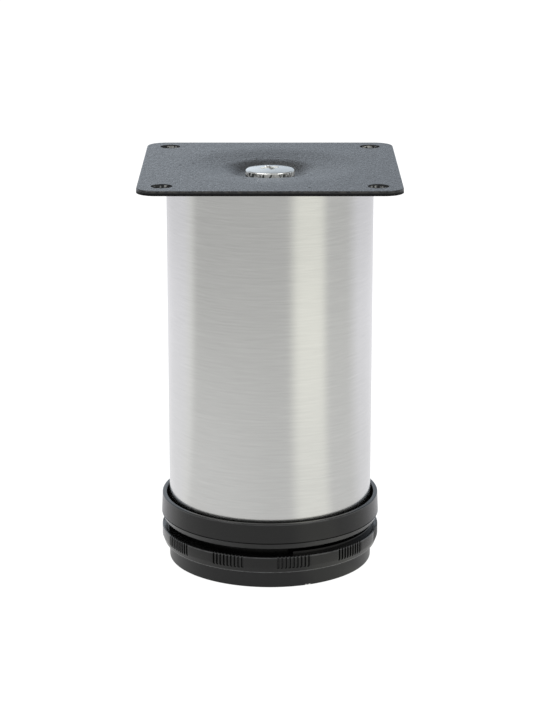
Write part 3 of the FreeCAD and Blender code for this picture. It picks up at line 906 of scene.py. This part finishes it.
class LEG_OT_foot(bpy.types.Operator):
    """Build the screw-in foot with its grip band, threaded stem, stop lands and ribs"""
    bl_idname = "leg.foot"
    bl_label = "Foot"

    def execute(self, context):
        s = context.scene.leg_foot
        shells = [band_shell(s), stem_shell(s)] + land_shells(s) + rib_shells(s)
        # Painted highlights along the band's lower and top edges
        highlight_lines = [(s.bottom + FOOT_HIGHLIGHT_HALF, FOOT_HIGHLIGHT_HALF, HIGHLIGHT_FOOT),
                (s.bottom + s.band - HIGHLIGHT_DROP, HIGHLIGHT_HALF, HIGHLIGHT_BAND)]
        # The stop lands' outer faces get painted shade for the shade under the collar
        lands = (s.bottom + s.band, s.land_radius - s.land_width)
        material = black_plastic("foot_finish", context.scene.leg_colours, highlight_lines, lands)
        make_piece("screw_foot", shells, material, "foot", "adjusting_foot")
        return {"FINISHED"}


def nick_turns(s):
    """Turns of the nicks in the pad's edge."""
    return s.nick_turn + np.arange(s.nicks) * s.nick_pitch


def pad_disc(s):
    """Disc with ring grooves underneath; near each nick the radius is held outside a small ball on
    the edge."""
    corners = [(PAD_EYE, 0.0)]
    for middle in s.groove_first + np.arange(s.grooves) * s.groove_pitch:
        low, high = middle - s.groove_width / 2.0, middle + s.groove_width / 2.0
        corners += [(low, 0.0), (low, s.groove_depth), (high, s.groove_depth), (high, 0.0)]
    corners += [(s.radius, 0.0, s.edge), (s.radius, s.height, s.edge), (PAD_EYE, s.height)]
    plain, height = rounded(corners)
    nicks = nick_turns(s)
    close = np.linspace(-NICK_SPREAD, NICK_SPREAD, NICK_COLUMNS) * s.nick / s.radius
    close = (nicks[:, None] + close).ravel()
    turns = np.sort(np.concatenate([even_turns(ROUND_COLUMNS), close]))
    off = turn_to_nearest(turns, nicks) * s.radius
    bite = np.sqrt(np.maximum(s.nick ** 2 - off ** 2 - height ** 2, 0.0))
    radius = np.minimum(plain, s.radius - bite)
    return disc_shell(swept(radius, turns, height), 0.0, s.height)


def post_shells(s):
    """Snap post: a barbed outline carried round each quarter turn, its ends set back by half a
    slot."""
    barb_top = s.post_top - s.barb_taper
    barb = barb_top - s.barb_land
    low = s.height / 2.0
    radius, height = rounded([
        (s.post_bore, low), (s.post, low), (s.post, barb),
        (s.post + s.barb, barb), (s.post + s.barb, barb_top),
        (s.post - s.barb, s.post_top), (s.post_bore, s.post_top),
    ])
    reach = math.pi / POST_PARTS - np.arcsin(s.slot / 2.0 / radius)
    sweep = np.linspace(-1.0, 1.0, POST_COLUMNS) * reach
    return [bar_shell(swept(radius, middle + sweep, height)) for middle in even_turns(POST_PARTS)]


class LEG_OT_pad(bpy.types.Operator):
    """Build the glide pad with its grooves, nicks and snap post"""
    bl_idname = "leg.pad"
    bl_label = "Pad"

    def execute(self, context):
        s = context.scene.leg_pad
        colours = context.scene.leg_colours
        points = swept(s.radius, nick_turns(s), 0.0)
        nicks = [(tuple(point), s.nick, colours.torn) for point in points]
        material = moulded_plastic("pad_finish", colours.pad, colours.pad_worn, PAD_ROUGHNESS,
                                   nicks=nicks)
        shells = [pad_disc(s)] + post_shells(s)
        make_piece("pad_disc", shells, material, "pad", "glide_pad")
        return {"FINISHED"}


def recess_floor(x, y, top, s):
    """Height of the cross recess: each wing narrows evenly from its mouth to its floor, and the
    deeper wing counts."""
    u = x * math.cos(s.recess_turn) + y * math.sin(s.recess_turn)
    v = y * math.cos(s.recess_turn) - x * math.sin(s.recess_turn)
    shrink = 1.0 - s.recess_taper
    along = (1.0 - 2.0 * np.abs(np.stack([u, v])) / s.recess_span) / shrink
    across = (1.0 - 2.0 * np.abs(np.stack([v, u])) / s.recess_wing) / shrink
    sunk = np.clip(np.minimum(along, across), 0.0, 1.0).max(axis=0)
    return np.where(sunk > 0.0, top - s.recess_depth * sunk, np.inf)


def head_shell(s):
    """Low domed head: a ball's cap over a straight rim, joined by a round that touches both, and
    lowered to the cross recess in its middle."""
    crown = (s.head ** 2 + s.dome ** 2) / (2.0 * s.dome)
    top = s.seat + s.rim + s.shoulder + s.dome
    middle = top - crown
    round_r = s.head - s.shoulder
    round_z = middle + math.sqrt((crown - s.shoulder) ** 2 - round_r ** 2)
    lift = np.linspace(0.0, math.atan2(round_z - middle, round_r), SHOULDER_ROWS)[:, None]
    shoulder = s.shoulder * np.concatenate([np.cos(lift), np.sin(lift)], axis=1)
    shoulder += [round_r, round_z]
    mouth = s.recess_span / 2.0
    radii = np.concatenate([np.linspace(shoulder[-1, 0], mouth, DOME_ROWS)[1:],
                            np.linspace(mouth, HEAD_EYE, RECESS_ROWS)[1:]])
    below = [[s.radius / 2.0, s.seat], [s.head - HEAD_CHAMFER, s.seat],
             [s.head, s.seat + HEAD_CHAMFER]]
    dome = np.stack([radii, middle + np.sqrt(crown ** 2 - radii ** 2)], axis=-1)
    outline = np.concatenate([below, shoulder, dome])
    points = swept(outline[:, :1], even_turns(ROUND_COLUMNS), outline[:, 1:])
    cap = points[len(below):]
    cap[..., 2] = np.minimum(cap[..., 2], recess_floor(cap[..., 0], cap[..., 1], top, s))
    return disc_shell(points, s.seat, top - s.recess_depth)


def shank_shell(s):
    """Shank: a plain round that ends in a thread, a helix that rises one pitch in a turn."""
    top = s.seat + s.rim / 2.0
    thread_top = s.end + s.threaded
    rows = np.concatenate([np.linspace(s.end + s.point, thread_top, SHANK_ROWS), [top]])
    height = np.concatenate([[s.end], rows])[:, None]
    radius = np.where(height > s.end, s.radius, s.radius - s.point)
    turns = even_turns(SHANK_COLUMNS)
    phase = (height - s.end) / s.pitch - turns / FULL_TURN
    fade = smooth_step((thread_top - height) / s.pitch)
    cut = np.where(radius >= s.radius, s.thread * thread_form(phase) * fade, 0.0)
    return disc_shell(swept(radius - cut, turns, height), s.end, top)


class LEG_OT_screw(bpy.types.Operator):
    """Build the tie screw and dress its nut"""
    bl_idname = "leg.screw"
    bl_label = "Screw and nut"

    def execute(self, context):
        s = context.scene.leg_screw
        material = bright_zinc(context.scene.leg_colours, s)
        shells = [head_shell(s), shank_shell(s)]
        make_piece("cross_head_screw", shells, material, "leg", "tie_screw")
        dress("socket_nut", material)
        return {"FINISHED"}


class LEG_OT_plate(bpy.types.Operator):
    """Dress the mounting plate and the plug under it"""
    bl_idname = "leg.plate"
    bl_label = "Plate and plug"

    def execute(self, context):
        colours = context.scene.leg_colours
        dress("mounting_plate", powder_coat(colours, context.scene.leg_plate))
        dress("top_plug", black_plastic("plug_finish", colours))
        return {"FINISHED"}


def grey(value):
    """Grey of a value."""
    return (value, value, value, 1.0)


def studio_level(direction, s):
    """Brightness of the studio by the turn of a direction from the front towards the right:
    fill in front and to the left, a softbox at the right front, sides, and a white back."""
    x, y, _ = axes_of(direction)
    azimuth = x.math("ARCTAN2", x, 0.0 - y) / FULL_TURN + 0.5
    stops = []
    for degrees, name, tint in STUDIO:
        brightness = getattr(s, name) / PEAK
        shade = [part * brightness for part in getattr(s, tint)[:3]]
        stops.append((degrees / 360.0 + 0.5, shade + [1.0]))
    return azimuth.node("ShaderNodeValToRGB", {"Fac": azimuth}, {"stops": stops})


def floor_material(s):
    """White floor: diffuse, so that it bounces light and keeps the shadow, and lit white where it
    is seen straight. In a reflection it shows the studio, dimmer far from the leg."""
    material, place = new_material("studio_floor")
    straight, in_gloss, through = (place.node("ShaderNodeLightPath", output="Is %s Ray" % kind)
                                   for kind in ("Camera", "Glossy", "Transmission"))
    far = place.vector("LENGTH", place, output=1)
    fading = far.ramp(*FLOOR_FADE).mix(grey(FLOOR_NEAR), grey(FLOOR_FAR))
    fading = far.ramp(*WALL_FADE).mix(fading, grey(FLOOR_WALL))
    multiply = {"data_type": "RGBA", "blend_type": "MULTIPLY"}
    studio = {0: 1.0, 6: studio_level(place, s), 7: fading}
    reflected = place.node("ShaderNodeMix", studio, multiply, 2)
    near = far.ramp(*NEAR_FADE)
    evened = (near * NEAR_SHARE).mix(reflected, grey(s.near_level / PEAK))
    left = ((0.0 - axes_of(place)[0]) / far).ramp(0.0, 1.0)
    raised = (left * near * s.near_left).mix(evened, grey(1.0))
    light = in_gloss.mix(grey(FLOOR_GLOW / PEAK), raised)
    glow = place.node("ShaderNodeEmission", {"Color": light, "Strength": PEAK})
    matt = place.node("ShaderNodeBsdfDiffuse", {"Color": s.floor_white})
    seen = place.math("MINIMUM", straight + in_gloss + through, 1.0)
    both = place.node("ShaderNodeMixShader", {0: seen * GLOW_SHARE, 1: matt, 2: glow})
    place.node("ShaderNodeOutputMaterial", {"Surface": both})
    return material


def studio_world(s):
    """World lit by the same studio levels, with a backdrop behind, a dark gap over it and a
    ceiling; the camera sees white."""
    world = bpy.data.worlds.new("studio")
    wire = new_tree(world)
    direction = wire.node("ShaderNodeTexCoord", output="Generated")
    straight = wire.node("ShaderNodeLightPath", output="Is Camera Ray")
    x, y, height = axes_of(direction)
    backdrop = x.ramp(*BACKDROP_SPLIT).mix(s.backdrop_left, s.backdrop_right)
    around = y.ramp(*BEHIND).mix(studio_level(direction, s), backdrop)
    shade = height.ramp(*BACKDROP_TOP).mix(around, grey(s.dark / PEAK))
    shade = height.ramp(*OVERHEAD).mix(shade, grey(s.ceiling / PEAK))
    shade = straight.mix(shade, grey(1.0 / PEAK))
    back = wire.node("ShaderNodeBackground", {"Color": shade, "Strength": PEAK})
    wire.node("ShaderNodeOutputWorld", {"Surface": back})
    return world


def add_lamp(scene, name, place, size, power):
    """Rectangular lamp that faces the leg."""
    lamp = bpy.data.lights.new(name, "AREA")
    lamp.shape = "RECTANGLE"
    lamp.size, lamp.size_y = size
    lamp.energy = power
    holder = bpy.data.objects.new(name, lamp)
    holder.location = place
    holder.rotation_euler = (-holder.location).to_track_quat("-Z", "Y").to_euler()
    scene.collection.objects.link(holder)


class LEG_OT_stage(bpy.types.Operator):
    """Set up floor, light and camera"""
    bl_idname = "leg.stage"
    bl_label = "Stage"

    def execute(self, context):
        scene = context.scene
        s = scene.leg_stage
        half = s.floor / 2.0
        low = CAD_BOX[0].z - FLOOR_DROP
        corners = [(-half, -half, low), (half, -half, low), (half, half, low), (-half, half, low)]
        mesh = bpy.data.meshes.new("studio_floor")
        mesh.from_pydata(corners, [], [(0, 1, 2, 3)])
        mesh.materials.append(floor_material(s))
        floor = bpy.data.objects.new("studio_floor", mesh)
        scene.collection.objects.link(floor)
        floor.parent = frame["bodies"]["pad"]
        scene.world = studio_world(s)
        add_lamp(scene, "key", KEY_PLACE, KEY_SIZE, s.key)
        add_lamp(scene, "strip", STRIP_PLACE, STRIP_SIZE, s.strip)
        lens = bpy.data.cameras.new("camera")
        lens.lens = s.focal
        lens.clip_start = NEAR_CLIP
        camera = bpy.data.objects.new("camera", lens)
        camera.location = (0.0, -s.camera_back, s.camera_height)
        camera.rotation_euler = (math.pi / 2.0 - s.camera_pitch, 0.0, 0.0)
        scene.collection.objects.link(camera)
        scene.camera = camera
        scene.view_settings.view_transform = "Standard"
        return {"FINISHED"}


GROUPS = {
    "leg_tube": TubeSizes,
    "leg_socket": SocketSizes,
    "leg_foot": FootSizes,
    "leg_pad": PadSizes,
    "leg_screw": ScrewSizes,
    "leg_plate": PlateSizes,
    "leg_colours": LegColours,
    "leg_stage": StageSettings,
}
OPERATORS = (LEG_OT_tube, LEG_OT_socket, LEG_OT_foot, LEG_OT_pad, LEG_OT_screw, LEG_OT_plate,
             LEG_OT_stage)


class LEG_PT_builder(bpy.types.Panel):
    """Pieces of the table leg and their sizes"""
    bl_idname = "LEG_PT_builder"
    bl_label = "Table Leg"
    bl_space_type = "VIEW_3D"
    bl_region_type = "UI"
    bl_category = "Table Leg"

    def draw(self, context):
        for operator in OPERATORS:
            self.layout.operator(operator.bl_idname)
        for name in GROUPS:
            group = getattr(context.scene, name)
            box = self.layout.box()
            box.label(text=type(group).__name__)
            for key in type(group).__annotations__:
                box.prop(group, key)


def register():
    for name, group in GROUPS.items():
        bpy.utils.register_class(group)
        setattr(bpy.types.Scene, name, bpy.props.PointerProperty(type=group))
    for operator in OPERATORS:
        bpy.utils.register_class(operator)
    bpy.utils.register_class(LEG_PT_builder)


def unregister():
    bpy.utils.unregister_class(LEG_PT_builder)
    for operator in reversed(OPERATORS):
        bpy.utils.unregister_class(operator)
    for name, group in reversed(GROUPS.items()):
        delattr(bpy.types.Scene, name)
        bpy.utils.unregister_class(group)


def main():
    register()
    bpy.ops.leg.tube()
    bpy.ops.leg.socket()
    bpy.ops.leg.foot()
    bpy.ops.leg.pad()
    bpy.ops.leg.screw()
    bpy.ops.leg.plate()
    bpy.ops.leg.stage()


if __name__ == "__main__":
    main()
